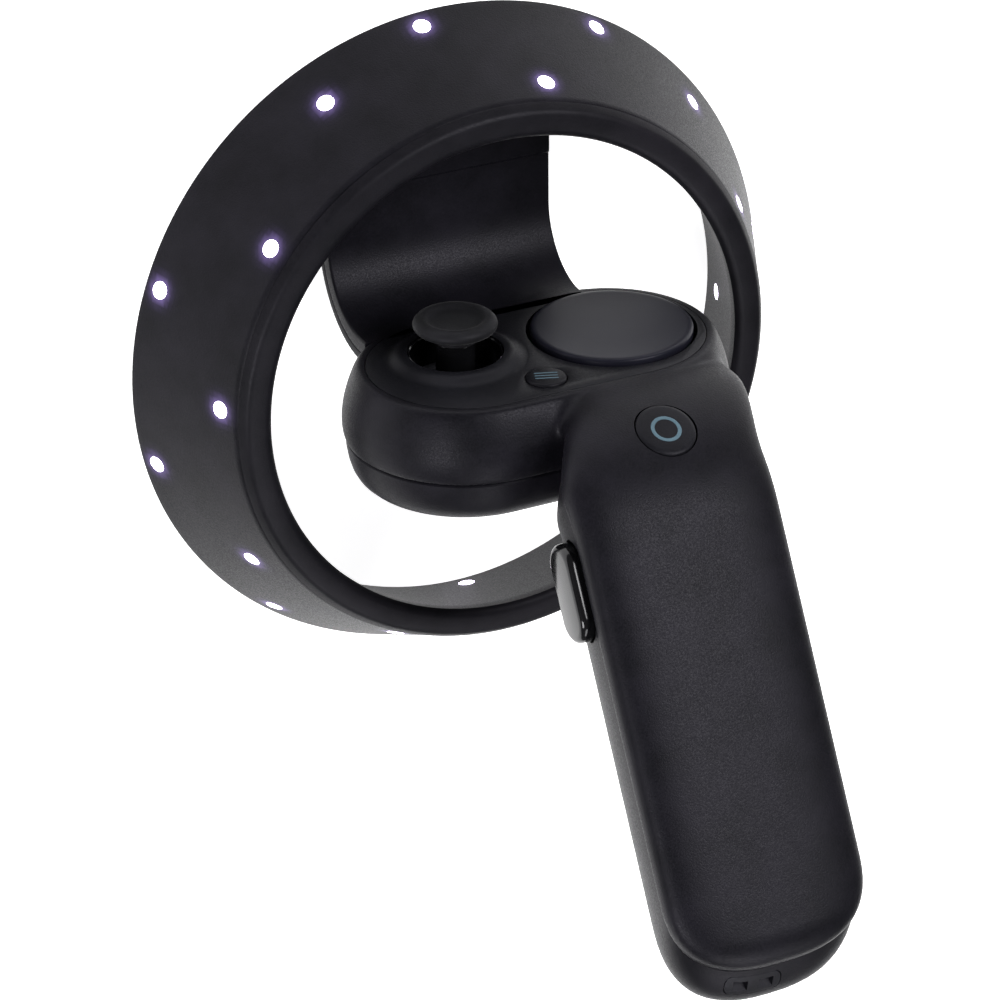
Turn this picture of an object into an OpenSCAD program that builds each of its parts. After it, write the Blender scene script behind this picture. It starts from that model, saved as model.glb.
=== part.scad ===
// Tracked motion controller for one hand: a handle that holds two AA cells, a head with a
// thumbstick and a touchpad, and a large tracking ring that stands on its wide edge.

/* [Ring] */
// Outer radius of the ring at its wide edge
ring_r = 60; // [58:0.5:62]
// Outer radius at the narrow rim
rim_r = 48.6; // [48:0.2:49]
// Inner radius at the narrow rim
rim_in_r = 43.7; // [43.4:0.1:44]
// Inner radius at the wide edge
base_in_r = 50.4; // [50.2:0.1:50.6]
// Height of the ring from wide edge to narrow rim
ring_h = 23.3; // [23:0.1:24]

/* [Head] */
// Half the distance between the head's two round ends
lobe_x = 13.2; // [13:0.1:13.4]
// Radius of the control plate's round ends
plate_r = 16.6; // [16.5:0.1:16.7]
// Radius of the touchpad
pad_r = 13.8; // [13.4:0.1:13.8]
// Radius of the thumbstick's cap
cap_r = 7.1; // [6.8:0.1:7.2]
// Height of the thumbstick's cap above the control plate
cap_top = 7.4; // [7.2:0.1:7.6]

/* [Handle] */
// Angle of the handle below the control plate
handle_tilt = 60; // [58:1:62]
// Radius of the bend from the head into the handle
bend_r = 29; // [29:0.5:30]
// Half the width of the handle
grip_w = 18; // [17.8:0.1:18.2]
// Length of the straight part of the handle's face
grip_l = 72; // [71:0.5:73]

/* [Hidden] */
$fn = 64;

gap = 0.15;                 // gap between two fixed shells
wall = 1.8;                 // wall of every moulded shell
ring_y = 10.1;              // narrow rim's plane, forward of the plate's middle
ring_z = -10.5;             // ring's axis, below the control plate
stand_y = ring_y + ring_h;  // wide edge's plane
part_mid_y = -20.1;         // puts the origin under the middle of the whole part

// The head's own frame: +X to the touchpad, +Y away from the user, +Z out of the plate.
// head_frame() stands it on the ring's wide edge with the control plate facing -Y.
module head_frame() translate([0, part_mid_y, stand_y]) rotate(180, [0, 1, -1]) children();
// ring_frame() is the ring's axis, upwards from the wide edge
module ring_frame() translate([0, part_mid_y - ring_z, 0]) children();
// grip_frame(): +Z down the handle, +Y out of its face, from the end of the bend
grip_x = 6.5;
bend_y = -17.5;
grip_y = bend_y - bend_r * sin(handle_tilt);
grip_z = -bend_r * (1 - cos(handle_tilt));
module grip_frame() head_frame() translate([grip_x, grip_y, grip_z])
    rotate([90 + handle_tilt, 0, 0]) children();
// bend_frame(): local X is radial and starts upwards, local Z is the bend's axis
module bend_frame() head_frame() translate([grip_x, bend_y, -bend_r])
    rotate(180, [1, 0, 1]) children();

// ---------- ring ----------
function ring_out(z) = ring_r + (rim_r - ring_r) * z / ring_h;
function ring_in(z) = base_in_r + (rim_in_r - base_in_r) * z / (ring_h - 1.4);
// Lenses on the cone: angle from straight up, clockwise seen from the narrow rim, and height
outer_leds = [[-140, 4], [-122, 14], [-102, 3], [-86, 18], [-70, 3], [-53, 18], [-27.5, 7.7], [-6, 3],
    [11, 17.5], [27, 3], [50, 6.5], [66, 17.5], [82, 3.5], [98, 17.5], [115, 3], [132, 17.5],
    [149, 3], [165, 17.5], [-172, 3], [-157, 17.5]];
inner_leds = [[90, 8], [135, 8], [180, 4], [-135, 12], [-90, 14], [-50, 14], [45, 14]];
lens_r = 1.5;
lens_t = 0.9;               // the lenses sit in pockets, half the wall deep
module at_led(led) rotate([0, 0, -90 - led[0]]) translate([0, 0, led[1]]) children();
cone_lean = atan((ring_r - rim_r) / ring_h);
inner_lean = atan((base_in_r - rim_in_r) / (ring_h - 1.4));
module outer_lens(led, r, in) at_led(led) translate([ring_out(led[1]), 0, 0])
    rotate([0, 90 - cone_lean, 0]) translate([0, 0, -in]) cylinder(r = r, h = in + 0.12, $fn = 24);
module inner_lens(led, r, in) at_led(led) translate([ring_in(led[1]), 0, 0])
    rotate([0, -90 - inner_lean, 0]) translate([0, 0, -in]) cylinder(r = r, h = in + 0.12, $fn = 24);

module ring_outer_shell() color([0.14, 0.14, 0.15]) ring_frame() difference() {
    rotate_extrude($fn = 180) polygon([[base_in_r + wall, 0], [ring_r - 0.5, 0], [ring_r, 0.5],
        [ring_out(21.4), 21.4], [ring_out(21.4) - wall, 21.4],
        [ring_r - wall * 1.2, wall], [base_in_r + wall, wall]]);
    for (led = outer_leds) outer_lens(led, lens_r + 0.05, lens_t + 0.05);
}
module ring_inner_shell() color([0.2, 0.2, 0.21]) ring_frame() difference() {
    rotate_extrude($fn = 180) polygon([[base_in_r, 0], [base_in_r + wall - gap, 0],
        [ring_in(1.8) + wall * 0.95, 1.8], [ring_in(20.4) + wall * 0.95, 20.4],
        [ring_out(21.4) - wall - 0.6, 21.5], [rim_r + 0.85, 21.5], [rim_r, ring_h],
        [rim_in_r + 1.0, ring_h - 0.3], [rim_in_r, ring_h - 1.4]]);
    for (led = inner_leds) inner_lens(led, lens_r + 0.05, lens_t + 0.05);
}
module outer_led_lenses() color("white") ring_frame()
    for (led = outer_leds) outer_lens(led, lens_r, lens_t);
module inner_led_lenses() color("white") ring_frame()
    for (led = inner_leds) inner_lens(led, lens_r, lens_t);
module led_flex_strip() color("darkgoldenrod") ring_frame()
    rotate_extrude($fn = 120) polygon([[55.6, 3], [56, 3], [50.4, 14.5], [50, 14.5]]);

// ---------- neck ----------
neck_left = -25;
neck_right = 16.8;
neck_t = 4.4;               // thickness of the neck's two covers together
neck_fillet = 12;
neck_cy = stand_y - neck_t - neck_fillet;
// A quarter turn from the plate's level up into the ring's plane, with both its straight ends
module neck_profile(near, far) {
    inner = neck_fillet + near;
    outer = neck_fillet + far;
    polygon(concat([[neck_cy - 2, neck_fillet - outer], [neck_cy - 2, neck_fillet - inner]],
        [for (a = [-90:7.5:0]) [neck_cy + inner * cos(a), neck_fillet + inner * sin(a)]],
        [[neck_cy + inner, 45], [neck_cy + outer, 45]],
        [for (a = [0:-7.5:-90]) [neck_cy + outer * cos(a), neck_fillet + outer * sin(a)]]));
}
module neck_sheet(near, far, left, right) translate([left, 0, 0]) rotate([90, 0, 90])
    linear_extrude(right - left) neck_profile(near, far);
module inside_ring(clear) translate([0, stand_y, ring_z]) rotate([90, 0, 0])
    cylinder(r1 = base_in_r - clear, r2 = rim_in_r - clear, h = ring_h - 1.4, $fn = 180);
module in_ring(clear) intersection() {
    children();
    union() {
        inside_ring(clear);
        translate([-60, -40, -60]) cube([120, 40 + ring_y + 1.4, 120]);
        translate([-60, 0, -60]) cube([120, 60, 72]);
    }
}
module neck_front_cover() color([0.13, 0.13, 0.14]) head_frame() in_ring(gap) difference() {
    neck_sheet(0, neck_t - wall, neck_left, neck_right);
    neck_sheet(1.6, neck_t, neck_left + 6, neck_right - 6);
    translate([0, 0, gap]) head_solid(0);
}
module neck_back_cover() color([0.13, 0.13, 0.14]) head_frame() in_ring(gap) difference() {
    neck_sheet(neck_t - wall + 0.05, neck_t, neck_left, neck_right);
    translate([0, 0, gap]) head_solid(0);
}
module neck_flex_cable() color("orange") head_frame() in_ring(2) difference() {
    neck_sheet(1.9, 2.2, neck_left + 12, neck_right - 12);
    translate([0, 0, gap]) head_solid(0);
}

// ---------- head ----------
head_top_r = 18.3;          // outer radius of the head's round ends at the control plate
head_mid_r = 20.8;          // the same at its widest
seam_z = -12.4;             // joint between the upper and the lower shell
widest_z = -9;
head_bottom_z = -20;
// A cone frustum stretched sideways into a rounded-end shape
module lobe_frustum(r_low, r_high, z_low, z_high) {
    for (x = [-lobe_x, lobe_x]) translate([x, 0, z_low])
        cylinder(r1 = r_low, r2 = r_high, h = z_high - z_low, $fn = 96);
    rotate([90, 0, 90]) translate([0, 0, -lobe_x]) linear_extrude(lobe_x * 2)
        polygon([[-r_low, z_low], [r_low, z_low], [r_high, z_high], [-r_high, z_high]]);
}
module head_upper(in) {
    lobe_frustum(head_mid_r - in, head_top_r - in, widest_z, 0.01 - in);
    lobe_frustum(head_mid_r - 0.4 - in, head_mid_r - in, seam_z, widest_z);
}
module head_lower(in) {
    lobe_frustum(18.4 - in, head_mid_r - 0.5 - in, -16.5, seam_z - gap);
    lobe_frustum(14 - in, 18.4 - in, head_bottom_z + in, -16.5);
}
module head_solid(in) {
    head_upper(in);
    head_lower(in);
}

// The handle's section: a shallow crown over the face and a deep round back
joint_step = 0.03;          // the straight part stands this much proud of the bend
joint_lap = 0.05;
crown = 5;
back = 24;
function oval(a, b, p, n, t0, t1) = [for (i = [0:n]) let (t = t0 + (t1 - t0) * i / n)
    [a * sign(cos(t)) * pow(abs(cos(t)), 2 / p), b * sign(sin(t)) * pow(abs(sin(t)), 2 / p)]];
// Width across, depth down: y = 0 on top of the crown
module crown_section(in) translate([0, -crown])
    polygon(oval(grip_w - in, crown - in, 2.6, 20, 0, 180));
module back_section(in) translate([0, -crown - gap])
    polygon(oval(grip_w - in, back - in, 2.6, 24, 180, 360));
// What is hollow inside the deep back, open towards the face
module back_cavity(in) translate([0, -crown - gap])
    polygon(concat(oval(grip_w - in, back - in, 2.6, 24, 180, 360),
        [[grip_w - in, 2], [in - grip_w, 2]]));
// Swept round the bend, from one angle to another
module bent(from, to) bend_frame() rotate([0, 0, from])
    rotate_extrude(angle = to - from, $fn = 180) intersection() {
        translate([bend_r, 0]) rotate([0, 0, -90]) children();
        translate([2, -60]) square([60, 120]);
    }
// A plain room inside the bend, between two radii and two angles
module bend_room(r0, r1, a0, a1) bend_frame() translate([0, 0, -grip_w + 3.5])
    linear_extrude(2 * grip_w - 7) polygon(concat(
        [for (i = [0:8]) let (a = a0 + (a1 - a0) * i / 8) r1 * [cos(a), sin(a)]],
        [for (i = [8:-1:0]) let (a = a0 + (a1 - a0) * i / 8) r0 * [cos(a), sin(a)]]));
end_round = 10;             // corner radius of the face's lower end
tail_round = 12;            // corner radius of the body's lower end
// Front outline of the handle's lower end, and its side outline
module face_outline(in) translate([0, 60, 0]) rotate([90, 0, 0]) linear_extrude(120) {
    translate([-grip_w - 2, -12]) square([2 * grip_w + 4, grip_l - end_round + 12]);
    for (s = [-1, 1]) translate([s * (grip_w - in - end_round), grip_l - end_round])
        circle(end_round - 0.01, $fn = 72);
    translate([-(grip_w - in - end_round), -1])
        square([2 * (grip_w - in - end_round), grip_l - in + 1]);
}
module tail_outline(in) rotate([90, 0, 90]) translate([0, 0, -30]) linear_extrude(60)
    polygon([[2, -12], [2, grip_l - in], [-crown, grip_l + 1.5 - in], [-8, grip_l + 4.6 - in],
        [-12, grip_l + 6 - in], [-17, grip_l + 5 - in], [-22, grip_l + 0.8 - in],
        [-26 + in / 2, grip_l - 7 - in], [-29 + in, grip_l - 18], [-30, grip_l - 40], [-30, -12]]);
module tail_front(in) translate([0, 60, 0]) rotate([90, 0, 0]) linear_extrude(120) {
    translate([-grip_w - 2, -12]) square([2 * grip_w + 4, grip_l - tail_round + 18]);
    for (s = [-1, 1]) translate([s * (grip_w - in - tail_round), grip_l + 6 - tail_round])
        circle(tail_round - 0.01, $fn = 72);
    translate([-(grip_w - in - tail_round), -1])
        square([2 * (grip_w - in - tail_round), grip_l + 8 - in]);
}

module face_shell() color([0.13, 0.13, 0.14]) difference() {
    union() {
        head_frame() head_upper(0);
        bent(0, handle_tilt) crown_section(0);
        grip_frame() intersection() {
            translate([0, 0, -joint_lap]) linear_extrude(grip_l + 6) crown_section(-joint_step);
            face_outline(-joint_step);
        }
    }
    head_frame() translate([0, 0, -0.01]) head_upper(wall);
    head_frame() translate([0, 0, seam_z - 1]) lobe_plate(head_mid_r - 0.4 - wall, 2);
    head_frame() translate([0, 0, -3]) lobe_plate(plate_r + gap, 6);
    bend_room(bend_r - crown - 3, bend_r - 2.6, 16, handle_tilt - 3);
    grip_frame() intersection() {
        translate([0, 0, 1]) linear_extrude(grip_l - 1 - wall) inner_crown();
        face_outline(wall);
    }
    home_well(5.35);
    trigger_slot();
    strap_pocket();
}
module inner_crown() translate([0, -crown])
    polygon(concat(oval(grip_w - wall, crown - wall, 2.6, 20, 0, 180),
        [[-grip_w + wall, -3], [grip_w - wall, -3]]));
module lobe_plate(r, h) {
    for (x = [-lobe_x, lobe_x]) translate([x, 0, 0]) cylinder(r = r, h = h, $fn = 96);
    translate([-lobe_x, -r, 0]) cube([2 * lobe_x, 2 * r, h]);
}
module head_lower_shell() color([0.11, 0.11, 0.12]) difference() {
    head_frame() head_lower(0);
    head_frame() head_lower(wall);
    head_frame() translate([0, 0, seam_z - 2]) lobe_plate(head_mid_r - 0.9 - wall, 3);
    grip_clearance(gap);
    trigger_slot();
}
// The room that the handle's body takes where it meets the head
module grip_clearance(c) {
    bent(0, handle_tilt) back_cavity(-c);
}

// ---------- handle ----------
door_depth = 16;            // depth of the joint between the body and the battery door
door_top = 8;               // the door starts this far down the straight handle
module handle_body() color([0.15, 0.15, 0.16]) difference() {
    union() {
        bent(2, handle_tilt) back_section(0);
        grip_frame() intersection() {
            translate([0, joint_step, -joint_lap]) linear_extrude(grip_l + 8)
                back_section(-joint_step);
            tail_outline(0);
            tail_front(-joint_step);
        }
    }
    bend_room(9, bend_r - crown + 2, 0, handle_tilt - 3);
    grip_frame() intersection() {
        translate([0, 0, 1]) linear_extrude(grip_l + 8) back_cavity(wall);
        tail_outline(wall + 1);
        tail_front(wall);
    }
    grip_frame() translate([-30, -60, door_top]) cube([60, 60 - door_depth, grip_l + 20]);
    head_frame() head_solid(-gap);
    grip_button_slot();
    strap_pocket();
    screw_holes();
}

module battery_door() color([0.12, 0.12, 0.13]) grip_frame() intersection() {
    difference() {
        translate([0, 0, door_top + 0.3]) linear_extrude(grip_l + 8) back_section(0);
        translate([0, 0, -1]) intersection() {
            linear_extrude(grip_l + 20) back_cavity(wall);
            tail_outline(wall);
            tail_front(wall);
        }
        translate([-30, -door_depth - 0.3, 0]) cube([60, 60, grip_l + 20]);
    }
    tail_outline(0);
    tail_front(0);
}

// ---------- control plate and what stands in it ----------
stick_x = -13.6;
stick_y = 3;
pad_x = 14.4;
pad_y = 0.8;
menu_x = -3.7;
menu_y = -11;
menu_r = 3.4;
well_r = 8.1;
collar_h = 1.2;
module control_plate() color([0.12, 0.12, 0.13]) head_frame() difference() {
    union() {
        translate([0, 0, -wall]) lobe_plate(plate_r, wall);
        translate([stick_x, stick_y, -0.01]) cylinder(r1 = 12.2, r2 = well_r + 1.2, h = collar_h, $fn = 96);
        translate([stick_x, stick_y, -4.6]) cylinder(r = well_r + 1.2, h = 3);
    }
    translate([stick_x, stick_y, -6]) cylinder(r = well_r, h = 9);
    translate([pad_x, pad_y, -4]) cylinder(r = pad_r + 0.7, h = 8, $fn = 96);
    translate([menu_x, menu_y, -4]) cylinder(r = menu_r + 0.2, h = 8);
    translate([0, 0, -6]) difference() {
        lobe_plate(30, 8);
        lobe_plate(plate_r, 8);
    }
}
module touchpad_cap() color([0.16, 0.16, 0.19]) head_frame() translate([pad_x, pad_y, -0.7])
    rotate_extrude($fn = 96) polygon([[0, 0], [pad_r, 0], [pad_r, 1.2], [pad_r - 0.35, 1.55],
        [pad_r - 2, 1.5], [0, 1.35]]);
module touchpad_sensor() color("darkgreen") head_frame() translate([pad_x, pad_y, -1.7])
    cylinder(r = pad_r - 1.2, h = 0.95);
module touchpad_switch() color("silver") head_frame() translate([pad_x, pad_y, board_top]) {
    translate([-2.6, -2.6, 0]) cube([5.2, 5.2, 1.6]);
    translate([0, 0, 1.59]) cylinder(r = 1.2, h = 0.5, $fn = 32);
}
pivot_z = -8;
dome_r = 6.2;
gimbal_r = 8.2;
gimbal_pin_r = 0.7;
module at_gimbal() translate([0, 0, pivot_z]) children();
module stick_cap() color([0.1, 0.1, 0.11]) head_frame() translate([stick_x, stick_y, cap_top])
    rotate_extrude($fn = 96) polygon([[0, -1], [3.6, -0.9], [4.7, -0.35], [5.3, 0], [6, -0.1],
        [cap_r - 0.4, -0.55], [cap_r, -1.2], [cap_r - 0.2, -1.9], [cap_r - 1.2, -2.5], [3.8, -3.1],
        [3.8, -4], [2.2, -4], [2.2, -2], [0, -2]]);
module stick_stem() color([0.08, 0.08, 0.09]) head_frame() translate([stick_x, stick_y, 0]) {
    translate([0, 0, pivot_z]) rotate_extrude($fn = 72) polygon(concat([[0, -2.52]],
        [for (a = [-24:8:48]) [dome_r * cos(a), dome_r * sin(a)]], [[3.6, dome_r * sin(56)],
        [3.4, 11.3], [2.15, 11.3], [2.15, 13.35], [0, 13.35]]));
}
// Two pins that stand out from the ball's sides into the gimbal ring
module stick_trunnions() color([0.08, 0.08, 0.09]) head_frame() translate([stick_x, stick_y, 0])
    at_gimbal() for (a = [-90, 90]) rotate([a, 0, 0]) translate([0, 0, dome_r])
        cylinder(r = gimbal_pin_r, h = gimbal_r - 0.4 - dome_r);
module stick_gimbal() color("silver") head_frame() translate([stick_x, stick_y, pivot_z])
    difference() {
        union() {
            translate([0, 0, -1.5]) cylinder(r = gimbal_r, h = 3);
            rotate([0, 90, 0]) cylinder(r = gimbal_pin_r, h = 2 * gimbal_r + 2.4, center = true);
        }
        translate([0, 0, -3]) cylinder(r = dome_r + 0.3, h = 6);
        rotate([90, 0, 0]) cylinder(r = gimbal_pin_r + 0.05, h = 2 * gimbal_r + 2, center = true);
    }
module stick_carrier() color("dimgray") head_frame() translate([stick_x, stick_y, 0]) difference() {
    translate([0, 0, -13.4]) cylinder(r = 9.6, h = 7.4);
    translate([0, 0, -12.6]) cylinder(r = 8.8, h = 8);
    at_gimbal() rotate([0, 90, 0]) cylinder(r = gimbal_pin_r + 0.05, h = 22, center = true);
}
module stick_housing() color("gray") head_frame() translate([stick_x, stick_y, 0]) difference() {
    translate([0, 0, -15.2]) cylinder(r = 11, h = 10);
    translate([0, 0, -14.2]) cylinder(r = 9.9, h = 20);
}
module menu_button() color([0.14, 0.14, 0.15]) head_frame() translate([menu_x, menu_y, -2.6])
    rotate_extrude($fn = 64) polygon([[0, 0], [2, 0], [2, 0.9], [menu_r, 0.9], [menu_r, 2.7],
        [menu_r - 0.4, 3], [0, 3.1]]);
module menu_switch() color("silver") head_frame() translate([menu_x, menu_y, board_top]) {
    translate([-1.8, -1.8, 0]) cube([3.6, 3.6, 1.3]);
    translate([0, 0, 1.29]) cylinder(r = 0.8, h = 0.5, $fn = 32);
}
board_top = -5;
module main_board() color("darkgreen") head_frame() difference() {
    translate([0, 0, board_top - 1.2]) lobe_plate(15.4, 1.2);
    translate([stick_x, stick_y, -10]) cylinder(r = 11.5, h = 10);
    translate([-40, -20, -10]) cube([26.4, 40, 10]);
    translate([-14, stick_y, -10]) cube([12, 30, 10]);
}
module radio_shield() color("silver") head_frame() translate([17, -8, board_top - 3.4])
    cube([9, 12, 2.2]);

// ---------- home button ----------
home_angle = 27;
home_x = 1.7;
module home_frame() bend_frame() rotate([0, 0, home_angle]) translate([bend_r, 0, home_x])
    rotate([0, 90, 0]) children();
module home_well(r) home_frame() translate([0, 0, -8]) cylinder(r = r, h = 16);
home_r = 5.1;
module home_button() color([0.13, 0.13, 0.14]) home_frame() difference() {
    translate([0, 0, -2.6]) rotate_extrude($fn = 72) polygon([[0, 0], [2, 0], [2, 0.8], [home_r, 0.8],
        [home_r, 2.3], [home_r - 0.35, 2.6], [0, 2.7]]);
    ring_groove();
}
module ring_groove() translate([0, 0, -0.35]) difference() {
    cylinder(r = 2.6, h = 2);
    translate([0, 0, -1]) cylinder(r = 1.9, h = 4);
}
module home_button_ring() color([0.37, 0.47, 0.53]) home_frame() translate([0, 0, -0.34])
    difference() {
        cylinder(r = 2.58, h = 0.36);
        translate([0, 0, -1]) cylinder(r = 1.92, h = 4);
    }
module home_switch() color("silver") home_frame() {
    translate([-1.8, -1.8, -5.3]) cube([3.6, 3.6, 1.5]);
    translate([0, 0, -3.81]) cylinder(r = 0.8, h = 0.55, $fn = 32);
}
module button_board() color("darkgreen") home_frame() translate([-3.7, -3.7, -6.3])
    cube([7.4, 7.4, 1]);

// ---------- grip button ----------
grip_btn_z = [-1.6, 14.9];
grip_btn_y = [-14.5, -6.5];
grip_btn_in = -16.2;        // the button's inner face
module grip_btn_block(grow, x0, x1) translate([x0, 0, 0]) rotate([90, 0, 90]) linear_extrude(x1 - x0) {
    r = (grip_btn_y[1] - grip_btn_y[0]) / 2;
    y = (grip_btn_y[1] + grip_btn_y[0]) / 2;
    for (z = [grip_btn_z[0] + r, grip_btn_z[1] - r]) translate([y, z]) circle(r + grow, $fn = 48);
    translate([y - r - grow, grip_btn_z[0] + r])
        square([2 * (r + grow), grip_btn_z[1] - grip_btn_z[0] - 2 * r]);
}
module grip_button() color([0.05, 0.05, 0.06]) grip_frame() union() {
    grip_btn_block(0, -18.8, grip_btn_in);
    grip_btn_block(-0.8, -19.8, -18.79);
}
module grip_button_slot() grip_frame() grip_btn_block(0.3, -25, -14.7);
module grip_switch() color("silver") grip_frame() translate([-14.9, -12.5, 4]) cube([2.6, 4, 5]);

// ---------- trigger ----------
pin_y = 12.5;
pin_z = -14.5;
trigger_x = [1, 16];
module trigger_slot() head_frame() translate([trigger_x[0] - 0.6, 10.5, -24])
    cube([trigger_x[1] - trigger_x[0] + 1.2, 20, 24 - 6.9]);
module trigger() color([0.1, 0.1, 0.11]) head_frame() difference() {
    union() {
        translate([3.5, pin_y, pin_z]) rotate([0, 90, 0]) cylinder(r = 3, h = 10);
        translate([3.5, 0, 0]) rotate([90, 0, 90]) linear_extrude(10)
            polygon([[pin_y, pin_z + 3], [18, -12], [18, -19], [pin_y, pin_z - 3]]);
        translate([trigger_x[0], 0, 0]) rotate([90, 0, 90])
            linear_extrude(trigger_x[1] - trigger_x[0])
            polygon([[17, -9], [21.5, -8.5], [23, -10], [23.3, -14], [23, -19], [23.6, -24],
                [25.6, -29.5], [25.2, -31.4], [23.4, -31.8], [21, -29], [19, -24.5], [17, -20]]);
    }
    translate([0, pin_y, pin_z]) rotate([0, 90, 0]) cylinder(r = 1.05, h = 30, center = true);
    translate([8.5, 19, -12]) cylinder(r = 1.6, h = 2, center = true, $fn = 32);
}
module trigger_magnet() color("silver") head_frame() translate([8.5, 19, -12])
    cylinder(r = 1.55, h = 1.9, center = true, $fn = 32);
module trigger_pin() color("silver") head_frame() translate([-1, pin_y, pin_z])
    rotate([0, 90, 0]) cylinder(r = 1, h = 19);
module trigger_spring() color("silver") head_frame() for (x = [1.2, 1.9, 2.6])
    translate([x, pin_y, pin_z]) rotate([0, 90, 0]) rotate_extrude($fn = 48)
        translate([1.7, 0]) circle(0.3, $fn = 16);
module trigger_frame() color("dimgray") head_frame() difference() {
    union() {
        for (x = [-1.2, 16.8]) translate([x, 7.2, -16.8]) cube([1.5, 8, 8.8]);
        translate([-1.2, 7.2, -16.8]) cube([19.5, 1.4, 8.8]);
    }
    translate([0, pin_y, pin_z]) rotate([0, 90, 0]) cylinder(r = 1.02, h = 60, center = true);
}

// ---------- inside the handle ----------
cell_r = 7.2;
cell_l = 50;
cell_depth = 14;
cell_z = 15;
module battery_tray() color("dimgray") grip_frame() difference() {
    translate([-15.6, -12, cell_z - 6]) cube([31.2, 6, cell_l + 8.5]);
    for (s = [-1, 1]) translate([s * 7.4, -cell_depth, cell_z - 3.5])
        cylinder(r = cell_r + 0.15, h = cell_l + 6);
    translate([-8, -10, cell_z - 7]) cube([16, 6, 4.5]);
    translate([-2.2, -14, 44]) cube([4.4, 12, 4.4]);
    grip_btn_block(0.6, -20, -12);
}
module aa_cell(flip) grip_cell(flip) {
    cylinder(r = cell_r, h = cell_l - 1.2);
    translate([0, 0, cell_l - 1.21]) cylinder(r = 2.7, h = 1.21, $fn = 32);
}
module grip_cell(flip) translate([flip * 7.4, -cell_depth, flip > 0 ? cell_z : cell_z + cell_l])
    rotate([flip > 0 ? 0 : 180, 0, 0]) children();
module battery_cell_left() color("peru") grip_frame() aa_cell(-1);
module battery_cell_right() color("peru") grip_frame() aa_cell(1);
// One spring and one plate face each cell's two ends
module spring_contacts() color("silver") grip_frame() {
    translate([7.4, -cell_depth, cell_z - 3.2]) cylinder(r1 = 4, r2 = 2, h = 3);
    translate([-7.4, -cell_depth, cell_z + cell_l + 0.2]) cylinder(r1 = 2, r2 = 3.4, h = 2.2);
}
module plate_contacts() color("silver") grip_frame() {
    translate([-11, -cell_depth - 4, cell_z - 0.9]) cube([7.2, 8, 0.7]);
    translate([3.8, -cell_depth - 4, cell_z + cell_l + 0.2]) cube([7.2, 8, 0.7]);
}
module pairing_button() color("white") grip_frame() translate([0, -9.9, 46.2])
    rotate([90, 0, 0]) cylinder(r = 0.8, h = 1.1, center = true, $fn = 32);
module pairing_switch() color("silver") grip_frame() translate([-1.9, -8.9, 44.3])
    cube([3.8, 1.6, 3.8]);
module vibration_motor() color("silver") head_frame() translate([0, -25, -16]) rotate([0, 90, 0])
    cylinder(r = 3.2, h = 12);

// ---------- strap bar ----------
strap_x = -4.4;
module strap_pocket() grip_frame() translate([strap_x - 5.2, -crown - 3.4, grip_l - 3])
    cube([10.4, 3.7, 12]);
module strap_bar() color([0.1, 0.1, 0.11]) grip_frame() difference() {
    translate([strap_x - 5, -crown - 3.2, grip_l - 2.9]) cube([10, 2.9, 4.7]);
    for (s = [-2, 2]) translate([strap_x + s - 1.2, -crown - 10, grip_l - 1.2]) cube([2.4, 20, 1.9]);
}
// Two screws that close the body against the face shell, under the battery door
screw_z = 4.5;
screw_depth = 26.2;
module at_screws() grip_frame() for (x = [-9, 9]) translate([x, -screw_depth, screw_z])
    rotate([90, 0, 0]) children();
module screw_holes() at_screws() {
    translate([0, 0, -6]) cylinder(r = 1.1, h = 12, $fn = 32);
    cylinder(r = 2.1, h = 6, $fn = 32);
}
module shell_screws() color("silver") at_screws() {
    translate([0, 0, -9]) cylinder(r = 1, h = 9.02, $fn = 32);
    difference() {
        translate([0, 0, 0.01]) cylinder(r = 1.9, h = 1.1, $fn = 32);
        for (a = [0, 90]) rotate([0, 0, a]) translate([-1.2, -0.2, 0.6]) cube([2.4, 0.4, 2]);
    }
}

ring_outer_shell();
ring_inner_shell();
outer_led_lenses();
inner_led_lenses();
led_flex_strip();
neck_front_cover();
neck_back_cover();
neck_flex_cable();
face_shell();
head_lower_shell();
handle_body();
battery_door();
control_plate();
touchpad_cap();
touchpad_sensor();
touchpad_switch();
stick_cap();
stick_stem();
stick_trunnions();
stick_gimbal();
stick_carrier();
stick_housing();
menu_button();
menu_switch();
home_button();
home_button_ring();
home_switch();
button_board();
grip_button();
grip_switch();
trigger();
trigger_magnet();
trigger_pin();
trigger_spring();
trigger_frame();
main_board();
radio_shield();
vibration_motor();
battery_tray();
battery_cell_left();
battery_cell_right();
spring_contacts();
plate_contacts();
pairing_button();
pairing_switch();
strap_bar();
shell_screws();
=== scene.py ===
"""Looks of a tracked motion controller for one hand, built round its CAD frame.

The controller stands on the wide edge of its tracking ring. Sizes are millimetres in three working
frames, and each frame's matrix turns them into metres in the shared frame:

* HEAD: +X towards the touchpad, +Y away from the user, +Z out of the control plate.
* GRIP: +Y out of the handle's face, +Z down the handle, from the end of the bend.
* RING: +Z along the ring's axis, from the wide edge to the narrow rim.
"""

import logging
import math
from dataclasses import dataclass, field, replace
from enum import Enum
from typing import Any, Callable, Mapping, Optional, Sequence

import bmesh
import bpy
from mathutils import Matrix, Vector


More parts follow.
